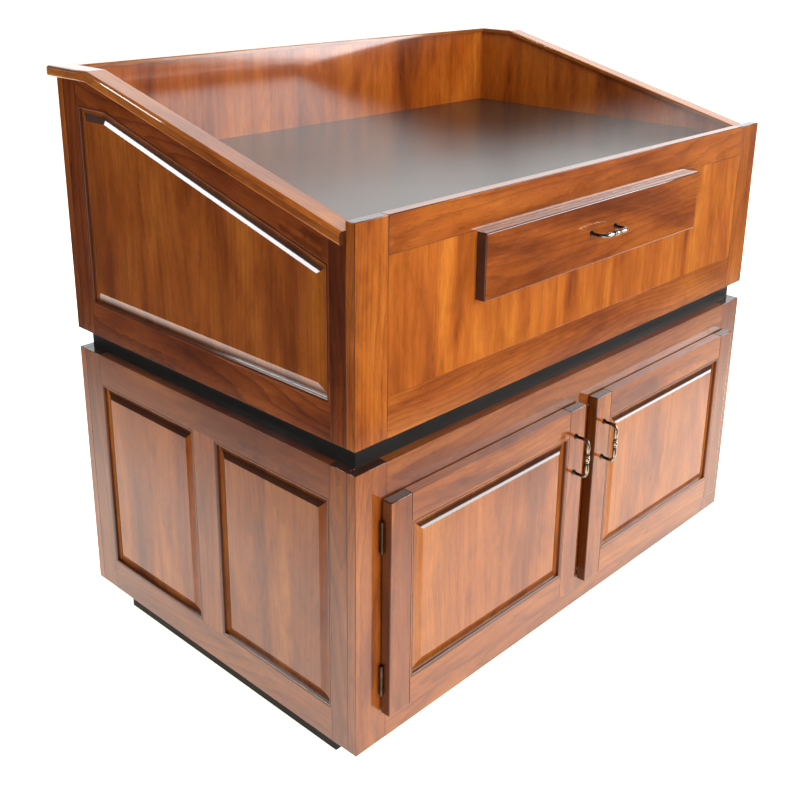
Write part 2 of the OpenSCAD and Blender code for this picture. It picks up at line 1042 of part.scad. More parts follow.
// Doors are built like the walls, with board_t scaled up to the door's thickness
module door_shift() {
    translate([0, -door_gap - door_t, 0])
        children();
}

module door_stile(x0, x1, on_left) {
    cut_x0 = on_left ? x0 - 1 : x1 - groove_d;
    cut_x1 = on_left ? x0 + groove_d : x1 + 1;
    difference() {
        slab([x0, 0, door_z0], [x1, door_t, door_z1]);
        slab([cut_x0, groove_y, door_z0 - 1], [cut_x1, groove_y + groove_w, door_z1 + 1]);
    }
}

module door_rail(z0, z1, groove_on_top) {
    tenon_z0 = groove_on_top ? z0 : z0 + groove_d;
    tenon_z1 = groove_on_top ? z1 - groove_d : z1;
    cut_z0 = groove_on_top ? z1 - groove_d : z0 - 1;
    cut_z1 = groove_on_top ? z1 + 1 : z0 + groove_d;
    difference() {
        slab([door_panel_x0, 0, z0], [door_panel_x1, door_t, z1]);
        slab([door_panel_x0 - 1, groove_y, cut_z0], [door_panel_x1 + 1, groove_y + groove_w, cut_z1]);
    }
    tenon_at(door_panel_x0 - tenon, door_panel_x0, tenon_z0, tenon_z1);
    tenon_at(door_panel_x1, door_panel_x1 + tenon, tenon_z0, tenon_z1);
}

module door_frame() {
    difference() {
        door_shift() {
            door_stile(left_x0, door_panel_x0, false);
            door_stile(door_panel_x1, left_x1, true);
            door_rail(door_z0, door_panel_z0, true);
            door_rail(door_panel_z1, door_z1, false);
        }
        for (s = [-1, 1])
            rod_y(pull_x, -door_gap - door_t - 1, 0, pull_z + s * pull_c / 2, pull_screw_r + 0.25);
        for (z = frame_screw_heights)
            rod_y(door_screw_x, -door_gap - 14, 0, z, hinge_screw_r + 0.05);
    }
}

module door_panel() {
    door_shift()
        raised_panel(box_corners(door_panel_x0, door_panel_x1, door_panel_z0, door_panel_z1));
}

module door_pull() {
    translate([pull_x, -door_gap - door_t, pull_z])
        bow_pull();
}

module door_leaves() {
    for (z = hinge_heights)
        door_leaf(z);
}

module door_screws() {
    for (s = [-1, 1])
        pull_screw(pull_x, -door_gap, -door_gap - door_t - screw_bite, pull_z + s * pull_c / 2);
    for (z = frame_screw_heights) {
        rod_y(door_screw_x, -door_gap - 13, leaf_t - door_gap + 0.5, z, hinge_screw_r);
        rod_y(door_screw_x, leaf_t - door_gap, leaf_t - door_gap + 1.4, z, 3.4);
    }
}

module door_bumpers() {
    for (z = [door_z0 + 20, door_z1 - 20])
        rod_y(left_x1 - overlay / 2, -door_gap, -0.1, z, 4.5);
}

module on_right() {
    translate([body_w, 0, 0])
        mirror([1, 0, 0])
            children();
}

module left_door_frame() {
    color(cherry)
        place()
            door_frame();
}

module left_door_panel() {
    color(cherry)
        place()
            door_panel();
}

module left_door_pull() {
    color(bronze)
        place()
            door_pull();
}

module left_door_leaves() {
    color(bronze)
        place()
            door_leaves();
}

module left_door_screws() {
    color(zinc)
        place()
            door_screws();
}

module left_door_bumpers() {
    color("gainsboro")
        place()
            door_bumpers();
}

module right_door_frame() {
    color(cherry)
        place()
            on_right()
                door_frame();
}

module right_door_panel() {
    color(cherry)
        place()
            on_right()
                door_panel();
}

module right_door_pull() {
    color(bronze)
        place()
            on_right()
                door_pull();
}

module right_door_leaves() {
    color(bronze)
        place()
            on_right()
                door_leaves();
}

module right_door_screws() {
    color(zinc)
        place()
            on_right()
                door_screws();
}

module right_door_bumpers() {
    color("gainsboro")
        place()
            on_right()
                door_bumpers();
}

plinth_frame();
lower_floor();
lower_front_frame();
lower_left_frame();
lower_left_panels();
lower_right_frame();
lower_right_panels();
lower_back_frame();
lower_back_panels();
centre_partition();
left_shelf();
right_shelf();
shelf_pins();
lower_top();
reveal_frame();
section_bolts();
upper_floor();
upper_front_frame();
upper_front_panel();
upper_left_frame();
upper_left_panel();
upper_right_frame();
upper_right_panel();
upper_back_frame();
upper_back_panel();
left_lining();
right_lining();
back_lining();
worksurface();
worksurface_cleats();
left_cap();
right_cap();
rear_cap();
drawer_hangers();
cabinet_slide_members();
middle_slide_members();
drawer_slide_members();
drawer_front();
drawer_sides();
drawer_box_front();
drawer_box_back();
drawer_bottom();
drawer_pull();
drawer_pull_screws();
hinge_frame_leaves();
hinge_pins();
hinge_frame_screws();
left_door_frame();
left_door_panel();
left_door_pull();
left_door_leaves();
left_door_screws();
left_door_bumpers();
right_door_frame();
right_door_panel();
right_door_pull();
right_door_leaves();
right_door_screws();
right_door_bumpers();
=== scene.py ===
import json
import math
import random

import bmesh
import bpy
from mathutils import Matrix, Vector

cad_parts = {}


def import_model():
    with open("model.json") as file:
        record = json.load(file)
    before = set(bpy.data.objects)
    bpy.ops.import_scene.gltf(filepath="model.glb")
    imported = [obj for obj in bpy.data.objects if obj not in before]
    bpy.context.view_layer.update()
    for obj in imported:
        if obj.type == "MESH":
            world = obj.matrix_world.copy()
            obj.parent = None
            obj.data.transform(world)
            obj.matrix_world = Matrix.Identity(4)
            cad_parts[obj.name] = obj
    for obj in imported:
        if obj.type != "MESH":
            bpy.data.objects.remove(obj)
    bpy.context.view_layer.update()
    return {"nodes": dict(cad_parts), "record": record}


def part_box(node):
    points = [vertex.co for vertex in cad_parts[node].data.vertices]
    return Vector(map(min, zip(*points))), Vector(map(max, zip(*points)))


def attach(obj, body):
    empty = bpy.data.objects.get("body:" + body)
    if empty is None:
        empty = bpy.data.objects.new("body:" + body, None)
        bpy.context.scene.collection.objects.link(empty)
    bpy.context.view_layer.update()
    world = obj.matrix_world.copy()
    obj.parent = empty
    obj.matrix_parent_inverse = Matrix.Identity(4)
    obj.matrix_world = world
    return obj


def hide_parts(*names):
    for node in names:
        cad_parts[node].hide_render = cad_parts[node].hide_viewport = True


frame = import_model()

body_of = {n: b for b, ns in frame["record"]["behaviour"]["bodies"].items() for n in ns}
slot_of = {s["node"]: s["material_slot"] for s in frame["record"]["subparts"]}

# Everything is laid out in millimetres from the front left corner of the face frame, on the floor
front_lo, front_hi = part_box("lower_front_frame")
OX, OY = front_lo.x, front_lo.y
W = (front_hi.x - front_lo.x) * 1000
D = (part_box("lower_back_frame")[1].y - OY) * 1000
LZ0 = front_lo.z * 1000
LZ1 = front_hi.z * 1000
UZ0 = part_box("upper_front_frame")[0].z * 1000
FZ1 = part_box("upper_front_frame")[1].z * 1000
WZ1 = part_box("upper_back_frame")[1].z * 1000
T = 19.0
SIDE = D - 2 * T


def mm(node):
    lo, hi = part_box(node)
    return ([(lo.x - OX) * 1000, (lo.y - OY) * 1000, lo.z * 1000],
            [(hi.x - OX) * 1000, (hi.y - OY) * 1000, hi.z * 1000])


def world(x, y, z):
    return Vector((OX + x / 1000, OY + y / 1000, z / 1000))


# A wall's own coordinates are (along, depth behind its outer face, height)
def front(u, h, z):
    return world(u, h, z)


def left(u, h, z):
    return world(h, D - T - u, z)


def right(u, h, z):
    return world(W - h, D - T - u, z)


def back(u, h, z):
    return world(W - u, D - h, z)


def mirrored(wall):
    return lambda u, h, z: wall(W - u, h, z)


# ---- Meshes ----

rng = random.Random(11)


def write_attribute(me, name, kind, domain, field, values):
    me.attributes.new(name, kind, domain).data.foreach_set(field, values)


def add_object(name, data):
    o = bpy.data.objects.new(name, data)
    bpy.context.scene.collection.objects.link(o)
    return o


def place_piece(name, node, me, material):
    """Turns the mesh's faces outwards and puts it in a CAD node's place."""
    bm = bmesh.new()
    bm.from_mesh(me)
    bmesh.ops.recalc_face_normals(bm, faces=bm.faces)
    bm.to_mesh(me)
    bm.free()
    me.materials.append(material)
    o = add_object(name, me)
    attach(o, body_of[node])
    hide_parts(node)


class Piece:
    """A mesh of many boards. grain holds each point in its board's own log: (across, depth, along)."""

    def __init__(self):
        self.verts, self.faces, self.grain, self.rim, self.tone, self.smooth = [], [], [], [], [], []

    def log(self, along, seed=None):
        """A new board's place in a log. along is 'u', 'z' or an angle in degrees from u."""
        r = rng if seed is None else random.Random(seed)
        a = math.radians({"u": 0.0, "z": 90.0}.get(along, along))
        cx = r.uniform(-35, 35)
        depth = r.uniform(28, 75)
        tilt = r.choice((-1, 1)) * r.uniform(0.012, 0.04)
        turn = r.uniform(0, 40)
        tone = r.uniform(0, 1)
        c = math.cos(a)
        s = math.sin(a)

        def place(u, h, z, cu, cz):
            t = (u - cu) * c + (z - cz) * s
            n = -(u - cu) * s + (z - cz) * c
            return ((n - cx) / 1000, (h + depth + tilt * t) / 1000, t / 1000 + turn)
        return place, tone

    def add(self, pts, faces, grain, tone, rim=None, smooth=None):
        base = len(self.verts)
        self.verts += pts
        self.grain += grain
        self.tone += [tone] * len(pts)
        self.faces += [[base + i for i in f] for f in faces]
        self.rim += rim or [0.0] * len(faces)
        self.smooth += smooth or [False] * len(faces)

    def prism(self, wall, outline, h0, h1, along, bevel=0.2, segments=2, round_front=0.0,
              dark_sides=False):
        """A board: an outline in (u, z), from depth h0 to h1."""
        bm = bmesh.new()
        low = [bm.verts.new((u, h0, z)) for u, z in outline]
        high = [bm.verts.new((u, h1, z)) for u, z in outline]
        n = len(outline)
        bm.faces.new(low)
        bm.faces.new(high[::-1])
        for i in range(n):
            bm.faces.new((low[i], high[i], high[(i + 1) % n], low[(i + 1) % n]))
        if round_front:
            edges = [e for e in bm.edges if all(abs(v.co.y - h0) < 1e-4 for v in e.verts)]
            edges += [e for e in bm.edges if abs(e.verts[0].co.y - e.verts[1].co.y) > 1e-4]
            offset, segments = round_front, 4
        else:
            edges = list(bm.edges)
            offset = bevel
        bmesh.ops.bevel(bm, geom=edges, offset=offset, segments=segments, profile=0.5, affect="EDGES")
        place, tone = self.log(along)
        cu = sum(p[0] for p in outline) / n
        cz = sum(p[1] for p in outline) / n
        bm.verts.index_update()
        pts = [wall(*v.co) for v in bm.verts]
        grain = [place(v.co.x, v.co.y, v.co.z, cu, cz) for v in bm.verts]
        # the n + 2 largest faces are the board's own, and the rest belong to its bevels
        big = sorted((f.calc_area() for f in bm.faces), reverse=True)[n + 1] * 0.999
        bm.normal_update()
        edge = [0.0 if f.calc_area() >= big else 1.0 for f in bm.faces]
        # bevels over 0.5 mm and rounded fronts are rim faces, which the wood paints darker: part thin
        # lacquer, part painted shade in the seams
        rim = edge if bevel > 0.5 or round_front else [0.0] * len(edge)
        # the doors' side edges get the dark edge colour all over: painted shade
        if dark_sides:
            rim = [1.0 if abs(f.normal.x) > 0.9 else r for f, r in zip(bm.faces, rim)]
        faces = [[v.index for v in f.verts] for f in bm.faces]
        self.add(pts, faces, grain, tone, rim, [e > 0.5 for e in edge])
        bm.free()

    def board(self, wall, u0, u1, z0, z1, along, h0=0.0, h1=T, **kw):
        self.prism(wall, [(u0, z0), (u1, z0), (u1, z1), (u0, z1)], h0, h1, along, **kw)

    def ring(self, wall, corners, profile, closed, one_board=None, smooth=None, rim=None):
        """Sweeps a profile of (inward, depth) points round an opening, mitred at its corners."""
        n = len(corners)
        rows = [inset(corners, d) for d, h in profile]
        for i in range(n):
            j = (i + 1) % n
            a, b = corners[i], corners[j]
            angle = math.degrees(math.atan2(b[1] - a[1], b[0] - a[0]))
            if one_board:
                place, tone, cu, cz = one_board
            else:
                place, tone = self.log(angle)
                cu, cz = (a[0] + b[0]) / 2, (a[1] + b[1]) / 2
            local = []
            for k, (d, h) in enumerate(profile):
                local += [(rows[k][i][0], h, rows[k][i][1]), (rows[k][j][0], h, rows[k][j][1])]
            m = len(profile)
            faces = [(2 * k, 2 * k + 1, 2 * ((k + 1) % m) + 1, 2 * ((k + 1) % m))
                     for k in range(m if closed else m - 1)]
            self.add([wall(*p) for p in local], faces, [place(*p, cu, cz) for p in local], tone,
                     [float(rim[k]) if rim else 0.0 for k in range(len(faces))],
                     [bool(smooth and smooth[k]) for k in range(len(faces))])
        return rows

    def end_grain(self):
        """How squarely each face corner cuts across its board's grain, from 0 to 1."""
        per_face, at_vert = [], {}
        for f, soft in zip(self.faces, self.smooth):
            g = [Vector(self.grain[i]) for i in f]
            n = sum(((g[k] - g[0]).cross(g[k + 1] - g[0]) for k in range(1, len(g) - 1)), Vector())
            e = abs(n.z) / n.length if n.length else 0.0
            per_face.append(e)
            if soft:
                for i in f:
                    at_vert.setdefault(i, []).append(e)
        out = []
        for f, soft, e in zip(self.faces, self.smooth, per_face):
            out += [sum(at_vert[i]) / len(at_vert[i]) if soft else e for i in f]
        return out

    def make(self, name, node, material):
        me = bpy.data.meshes.new(name)
        me.from_pydata([tuple(v) for v in self.verts], [], self.faces)
        me.polygons.foreach_set("use_smooth", self.smooth)
        write_attribute(me, "grain", "FLOAT_VECTOR", "POINT", "vector", [x for g in self.grain for x in g])
        write_attribute(me, "tone", "FLOAT", "POINT", "value", self.tone)
        write_attribute(me, "rim", "FLOAT", "FACE", "value", self.rim)
        write_attribute(me, "end", "FLOAT", "CORNER", "value", self.end_grain())
        place_piece(name, node, me, material)


def inset(corners, d):
    """The corners of an anticlockwise outline, moved inwards by d."""
    n = len(corners)
    lines = []
    for i in range(n):
        a, b = Vector(corners[i]), Vector(corners[(i + 1) % n])
        t = (b - a).normalized()
        inward = Vector((-t.y, t.x))
        lines.append((a + inward * d, t))
    out = []
    for i in range(n):
        (p, s), (q, t) = lines[i - 1], lines[i]
        cross = s.x * t.y - s.y * t.x
        k = ((q.x - p.x) * t.y - (q.y - p.y) * t.x) / cross
        out.append((p.x + s.x * k, p.y + s.y * k))
    return out


def tube_faces(rows, n):
    """The faces of a tube of rows of n points each, closed at both ends."""
    faces = [(r * n + k, r * n + (k + 1) % n, (r + 1) * n + (k + 1) % n, (r + 1) * n + k)
             for r in range(rows - 1) for k in range(n)]
    return faces + [tuple(range(n)), tuple((rows - 1) * n + k for k in range(n))]


def rect(u0, u1, z0, z1):
    return [(u0, z0), (u1, z0), (u1, z1), (u0, z1)]


# How far the moulded edge of a frame reaches back from its opening
STICK = 7.0
QUARTER = [math.radians(x) for x in range(0, 91, 15)]


def add_sticking(piece, wall, corners, thick=T):
    """The frame's edge round a panel: a fine quirk, a small round and a drop to the panel."""
    r = 1.9
    arc = [(r * math.sin(a) - r, r - r * math.cos(a)) for a in QUARTER]
    prof = [(-STICK, thick), (-STICK, 0.0), (-4.4, 0.0), (-4.1, 0.7), (-3.7, 0.7), (-3.4, 0.0)]
    prof += arc + [(0, 5.2), (-0.6, 6.0), (0, 6.4), (0, thick)]
    # the quirk, the round and the drop are rim faces, painted darker: painted shade in the quirk and over
    # the round's highlight
    piece.ring(wall, corners, prof, True, smooth=[6 <= k <= 11 for k in range(len(prof))],
               rim=[2 <= k <= 14 for k in range(len(prof))])


def add_panel(piece, wall, corners, along, seed=None):
    """A raised panel: tongue, hollow cove and field, from its back to its face."""
    back_h, lip_h, field_h, cove_width = 12.7, 6.5, 1.3, 20
    place, tone = piece.log(along, seed)
    cu = sum(p[0] for p in corners) / len(corners)
    cz = sum(p[1] for p in corners) / len(corners)
    end = math.radians(29)
    radius = cove_width / math.sin(end)
    cove = [(1 + radius * math.sin(a), lip_h - radius * (1 - math.cos(a)))
            for a in [end * k / 10 for k in range(1, 11)]]
    profile = [(-STICK, back_h), (-STICK, lip_h), (1, lip_h)] + cove + [(cove_width + 1.5, field_h)]
    rows = piece.ring(wall, corners, profile, False, one_board=(place, tone, cu, cz),
                      smooth=[k in range(2, 12) for k in range(len(profile) - 1)])
    for row, h in ((rows[-1], field_h), (rows[0], back_h)):
        local = [(u, h, z) for u, z in row]
        face = [list(range(len(row)))]
        piece.add([wall(*p) for p in local], face, [place(*p, cu, cz) for p in local], tone)


# ---- Materials ----

class Shader:
    """A material's nodes, with short calls for the ones used here."""

    def __init__(self, name):
        self.material = bpy.data.materials.new(name)
        self.material.use_nodes = True
        self.nodes = self.material.node_tree.nodes
        self.links = self.material.node_tree.links
        self.bsdf = self.nodes["Principled BSDF"]

    def constants(self, values):
        for socket, value in values.items():
            self.bsdf.inputs[socket].default_value = value

    def drive(self, socket, output):
        self.links.new(output, self.bsdf.inputs[socket])

    def attribute(self, name):
        n = self.nodes.new("ShaderNodeAttribute")
        n.attribute_name = name
        return n.outputs

    def coords(self, axes="XYZ", offset=(0.0, 0.0, 0.0)):
        """Object coordinates, with the named axes put in first, second and third place."""
        tc = self.nodes.new("ShaderNodeTexCoord")
        sep = self.nodes.new("ShaderNodeSeparateXYZ")
        comb = self.nodes.new("ShaderNodeCombineXYZ")
        self.links.new(tc.outputs["Object"], sep.inputs[0])
        for i, ax in enumerate(axes):
            self.links.new(self.calc("ADD", sep.outputs["XYZ".index(ax)], offset[i]), comb.inputs[i])
        return comb.outputs[0]

    def noise(self, vector, scale, detail=3.0, rough=0.5, distortion=0.0, at=(0, 0, 0)):
        """Noise stretched by a scale for each axis. at keeps one use of it apart from another."""
        mp = self.nodes.new("ShaderNodeMapping")
        mp.inputs["Scale"].default_value = scale
        mp.inputs["Location"].default_value = at
        self.links.new(vector, mp.inputs["Vector"])
        n = self.nodes.new("ShaderNodeTexNoise")
        n.inputs["Scale"].default_value = 1.0
        n.inputs["Detail"].default_value = detail
        n.inputs["Roughness"].default_value = rough
        n.inputs["Distortion"].default_value = distortion
        self.links.new(mp.outputs["Vector"], n.inputs["Vector"])
        return n.outputs["Fac"]

    def ramp(self, factor, stops):
        """A colour that follows factor through stops of (position, colour or grey)."""
        r = self.nodes.new("ShaderNodeValToRGB")
        elements = r.color_ramp.elements
        while len(elements) < len(stops):
            elements.new(0.5)
        for element, (position, c) in zip(elements, stops):
            element.position = position
            element.color = (*c, 1) if isinstance(c, tuple) else (c, c, c, 1)
        self.links.new(factor, r.inputs[0])
        return r.outputs["Color"]

    def mix(self, a, b, factor, mode="MIX"):
        n = self.nodes.new("ShaderNodeMix")
        n.data_type = "RGBA"
        n.blend_type = mode
        if isinstance(factor, (int, float)):
            n.inputs["Factor"].default_value = factor
        else:
            self.links.new(factor, n.inputs["Factor"])
        for socket, value in ((n.inputs[6], a), (n.inputs[7], b)):
            if isinstance(value, tuple):
                socket.default_value = (*value, 1)
            else:
                self.links.new(value, socket)
        return n.outputs[2]

    def tint(self, colour, factor, stops, amount):
        """Multiplies a colour by one that follows factor."""
        return self.mix(colour, self.ramp(factor, stops), amount, "MULTIPLY")

    def calc(self, op, a, b, clamp=False):
        n = self.nodes.new("ShaderNodeMath")
        n.operation = op
        n.use_clamp = clamp
        for i, v in enumerate((a, b)):
            if isinstance(v, (int, float)):
                n.inputs[i].default_value = v
            else:
                self.links.new(v, n.inputs[i])
        return n.outputs[0]

    def bump(self, height, strength, distance, socket="Normal"):
        b = self.nodes.new("ShaderNodeBump")
        b.inputs["Strength"].default_value = strength
        b.inputs["Distance"].default_value = distance
        self.links.new(height, b.inputs["Height"])
        self.drive(socket, b.outputs["Normal"])


# stained end grain, also used as painted shade in the panels' top coves
END_STAIN_AND_SHADE = (0.022, 0.0045, 0.0016)
# the dark edge colour: part thin lacquer, part painted shade
DARK_EDGE_AND_SHADE = (0.045, 0.009, 0.003)


def cherry(name, axes="", light=(0.51, 0.168, 0.016), mid=(0.345, 0.088, 0.007),
           dark=(0.13, 0.021, 0.0025), figure=1.0, rings=42.0, veins=0.45, offset=(0.0, 0.0, 0.0)):
    """Lacquered cherry. Boards bring their own log coordinates, and a CAD node names its
    (across, depth, along) axes."""
    s = Shader(name)
    vec = s.coords(axes, offset) if axes else s.attribute("grain")["Vector"]

    # growth rings, bent slowly along the board
    bend = s.noise(vec, (5.0, 5.0, 1.1), 2.0)
    short_bend = s.noise(vec, (26.0, 26.0, 3.2), 2.0, at=(3, 7, 1))
    off = s.nodes.new("ShaderNodeCombineXYZ")
    s.links.new(s.calc("MULTIPLY", bend, 0.085), off.inputs[0])
    s.links.new(s.calc("ADD", s.calc("MULTIPLY", bend, 0.05), s.calc("MULTIPLY", short_bend, 0.012)),
                off.inputs[1])
    bent = s.nodes.new("ShaderNodeVectorMath")
    bent.operation = "ADD"
    s.links.new(vec, bent.inputs[0])
    s.links.new(off.outputs[0], bent.inputs[1])
    wave = s.nodes.new("ShaderNodeTexWave")
    wave.wave_type = "RINGS"
    wave.rings_direction = "Z"
    wave.wave_profile = "SAW"
    wave.inputs["Scale"].default_value = rings
    wave.inputs["Distortion"].default_value = 1.1
    wave.inputs["Detail"].default_value = 2.0
    wave.inputs["Detail Scale"].default_value = 1.4
    s.links.new(bent.outputs[0], wave.inputs["Vector"])
    ring = s.ramp(wave.outputs["Fac"], [(0.0, 0.0), (0.62, 0.28), (0.93, 1.0), (1.0, 0.15)])

    # broad clouds, kept mostly in the middle of the range, with the rings as veins
    clouds = s.noise(vec, (9.0, 9.0, 2.2), 4.0, 0.6, 0.6, at=(1, 2, 3))
    c = s.mix(mid, s.ramp(clouds, [(0.28, dark), (0.47, mid), (0.66, light)]), 0.8)
    c = s.mix(c, dark, s.calc("MULTIPLY", ring, veins))

    # long bands, short ripples across the grain, fibres and pores
    bands = s.noise(vec, (30.0, 30.0, 1.4), 3.0, 0.5, 0.3, at=(4, 4, 9))
    ripple = s.noise(vec, (30.0, 30.0, 13.0), 3.0, 0.55, 1.2, at=(5, 1, 8))
    fibre = s.noise(vec, (420.0, 420.0, 9.0), 4.0, 0.62)
    pores = s.noise(vec, (1500.0, 1500.0, 42.0), 1.0, at=(9, 4, 2))
    c = s.tint(c, bands, [(0.32, (0.66, 0.55, 0.44)), (0.5, 1.0), (0.68, (1.2, 1.26, 1.35))], 0.5)
    c = s.tint(c, ripple, [(0.35, (0.74, 0.70, 0.66)), (0.55, 1.0), (0.72, (1.16, 1.15, 1.12))],
               0.42 * figure)
    c = s.tint(c, fibre, [(0.3, (0.80, 0.77, 0.74)), (0.55, 1.0), (0.75, (1.12, 1.12, 1.10))], 0.75)
    c = s.tint(c, pores, [(0.30, (0.45, 0.36, 0.30)), (0.40, 1.0)], 0.55)

    # dark gum marks, rare and stretched along the grain
    gum = s.noise(vec, (60.0, 60.0, 14.0), 2.0, 0.5, 0.4, at=(2, 6, 5))
    c = s.tint(c, gum, [(0.70, 1.0), (0.80, (0.42, 0.36, 0.34))], 0.55)

    if not axes:
        tone = s.attribute("tone")["Fac"]
        c = s.tint(c, tone, [(0.0, (0.86, 0.82, 0.80)), (0.5, 1.0), (1.0, (1.10, 1.07, 1.0))], 1.0)
        # end grain drinks the stain, and the darkening is pushed far enough to paint shade into the top
        # coves too; faces that look down are left out of it, a painted light from the floor below
        geo = s.nodes.new("ShaderNodeNewGeometry")
        normal = s.nodes.new("ShaderNodeSeparateXYZ")
        s.links.new(geo.outputs["Normal"], normal.inputs[0])
        not_below = s.calc("ADD", s.calc("MULTIPLY", normal.outputs["Z"], 2.2), 1.0, True)
        end = s.calc("MULTIPLY", s.attribute("end")["Fac"], 5.0, True)
        stain_and_painted_shade = s.calc("MULTIPLY", end, not_below)
        c = s.mix(c, END_STAIN_AND_SHADE, s.calc("MULTIPLY", stain_and_painted_shade, 0.9))
        # darker along the rim faces: partly thin lacquer at the edges, partly painted shade in the seams and
        # quirks and over the highlights of the rounds
        rim = s.attribute("rim")["Fac"]
        edge_wear_and_shade = s.calc("MULTIPLY", rim, s.calc("ADD", ripple, 0.35), True)
        c = s.mix(c, DARK_EDGE_AND_SHADE, s.calc("MULTIPLY", edge_wear_and_shade, 0.7))

    s.drive("Base Color", c)
    s.drive("Roughness", s.ramp(ripple, [(0.3, 0.30), (0.7, 0.42)]))
    s.constants({"Specular IOR Level": 0.05, "Coat Weight": 1.0, "Coat Roughness": 0.07, "Coat IOR": 1.52})
    s.bump(s.calc("ADD", s.calc("MULTIPLY", fibre, 0.5), s.calc("MULTIPLY", pores, 0.5)), 0.08, 0.0003)
    # orange peel in the lacquer
    s.bump(s.noise(vec, (70.0, 70.0, 55.0), 2.0), 0.08, 0.0004, "Coat Normal")
    return s.material


def plywood(name, axes):
    """Clear-finished birch ply. axes are (across, thickness, along)."""
    s = Shader(name)
    vec = s.coords(axes)
    broad = s.noise(vec, (22.0, 6.0, 2.4), 4.0, 0.55, 0.8)
    fine = s.noise(vec, (600.0, 600.0, 14.0), 3.0, 0.6)
    c = s.ramp(broad, [(0.30, (0.47, 0.29, 0.15)), (0.5, (0.60, 0.41, 0.24)), (0.7, (0.68, 0.50, 0.32))])
    c = s.tint(c, fine, [(0.3, (0.86, 0.84, 0.80)), (0.6, 1.0)], 0.7)
    layers = s.nodes.new("ShaderNodeTexWave")
    layers.bands_direction = "Y"
    layers.inputs["Scale"].default_value = 125.0
    layers.inputs["Distortion"].default_value = 0.6
    s.links.new(vec, layers.inputs["Vector"])
    c = s.tint(c, layers.outputs["Fac"], [(0.35, (0.72, 0.66, 0.60)), (0.6, 1.0)], 0.45)
    s.drive("Base Color", c)
    s.constants({"Roughness": 0.42, "Coat Weight": 0.25, "Coat Roughness": 0.25})
    s.bump(fine, 0.15, 0.0003)
    return s.material


def black_paint(name):
    s = Shader(name)
    vec = s.coords()
    broad = s.noise(vec, (9.0,) * 3, 4.0, 0.6)
    s.drive("Base Color", s.ramp(broad, [(0.3, (0.0075, 0.0068, 0.0065)), (0.7, (0.016, 0.014, 0.013))]))
    s.drive("Roughness", s.ramp(broad, [(0.3, 0.42), (0.7, 0.60)]))
    s.constants({"Specular IOR Level": 0.12})
    s.bump(s.noise(vec, (260.0,) * 3, 3.0, 0.6), 0.2, 0.0003)
    return s.material


def laminate(name):
    s = Shader(name)
    vec = s.coords()
    broad = s.noise(vec, (3.0,) * 3, 4.0, at=(0.37, 0.81, 0.53))
    s.drive("Base Color", s.ramp(broad, [(0.2, (0.020, 0.0185, 0.014)), (0.8, (0.034, 0.032, 0.024))]))
    s.drive("Roughness", s.ramp(broad, [(0.1, 0.20), (0.9, 0.27)]))
    s.constants({"Specular IOR Level": 0.75})
    s.bump(s.noise(vec, (350.0,) * 3, 1.0, at=(0.4, 0.7, 0.55)), 0.05, 0.0001)
    return s.material


def metal(name, bright, dull, rough, brushed=(220.0,) * 3, wear=False):
    """Metal between a dull and a bright colour. With wear, the "wear" attribute shows the bright one."""
    s = Shader(name)
    vec = s.coords()
    k = s.noise(vec, (60.0,) * 3, 4.0, 0.6)
    if wear:
        blotches = s.calc("MULTIPLY", s.calc("SUBTRACT", k, 0.5), 0.9)
        k = s.calc("ADD", s.calc("MULTIPLY", s.attribute("wear")["Fac"], 1.1), blotches, True)
    s.drive("Base Color", s.ramp(k, [(0.25, dull), (0.75, bright)]))
    s.drive("Roughness", s.ramp(k, [(0.25, rough * 1.5), (0.75, rough)]))
    s.constants({"Metallic": 1.0})
    s.bump(s.noise(vec, brushed, 3.0, 0.6), 0.12, 0.0002)
    return s.material


def clear_bumper(name):
    s = Shader(name)
    fine = s.noise(s.coords(), (300.0,) * 3, 2.0)
    s.drive("Base Color", s.ramp(fine, [(0.3, (0.62, 0.62, 0.58)), (0.7, (0.74, 0.74, 0.71))]))
    s.constants({"Roughness": 0.3, "Transmission Weight": 0.35})
    s.bump(fine, 0.1, 0.0002)
    return s.material


WOOD = cherry("cherry_boards", "", (0.44, 0.135, 0.013), (0.28, 0.067, 0.006), (0.080, 0.012, 0.002),
              veins=0.36)
# the caps get a lighter copy of the cherry: painted light for their lit top faces
CAP_PAINTED_LIGHT = cherry("cherry_caps_painted_light", "", (0.60, 0.215, 0.030), (0.42, 0.125, 0.015), (0.16, 0.032, 0.005),
             veins=0.4)
DARK = cherry("cherry_dark_boards", "", (0.33, 0.084, 0.009), (0.20, 0.040, 0.004),
              (0.045, 0.0065, 0.0012), figure=1.3, veins=0.5)
PANEL = cherry("cherry_panels", rings=34.0, veins=0.28)
UPPER = cherry("cherry_front_panel", "XYZ", figure=1.2, rings=12.0, veins=0.22, offset=(0.31, 0.47, 0.0))
LINING_X = cherry("cherry_back_lining", "XYZ", (0.64, 0.190, 0.022), (0.44, 0.100, 0.010),
                  rings=12.0, veins=0.22, offset=(-0.15, 0.05, 2.0))
LINING_Y = cherry("cherry_side_lining", "YXZ", (0.70, 0.210, 0.026), (0.52, 0.125, 0.013),
                  rings=12.0, veins=0.22, offset=(0.2, 0.9, 4.0))
TOP = cherry("cherry_lower_top", "YZX", figure=0.8)
PLY_FLAT = plywood("plywood_flat", "YZX")
PLY_SIDE = plywood("plywood_side", "ZXY")
PLY_CROSS = plywood("plywood_cross", "ZYX")
PAINT = black_paint("black_paint")
LAMINATE = laminate("black_laminate")
BRONZE = metal("antique_bronze", (0.13, 0.085, 0.055), (0.030, 0.020, 0.014), 0.30)
PULL = metal("antique_pull", (0.40, 0.35, 0.29), (0.045, 0.034, 0.026), 0.22, wear=True)
ZINC = metal("bright_zinc", (0.74, 0.75, 0.76), (0.52, 0.53, 0.55), 0.28, brushed=(500.0, 30.0, 500.0))
CLEAR = clear_bumper("clear_bumper")

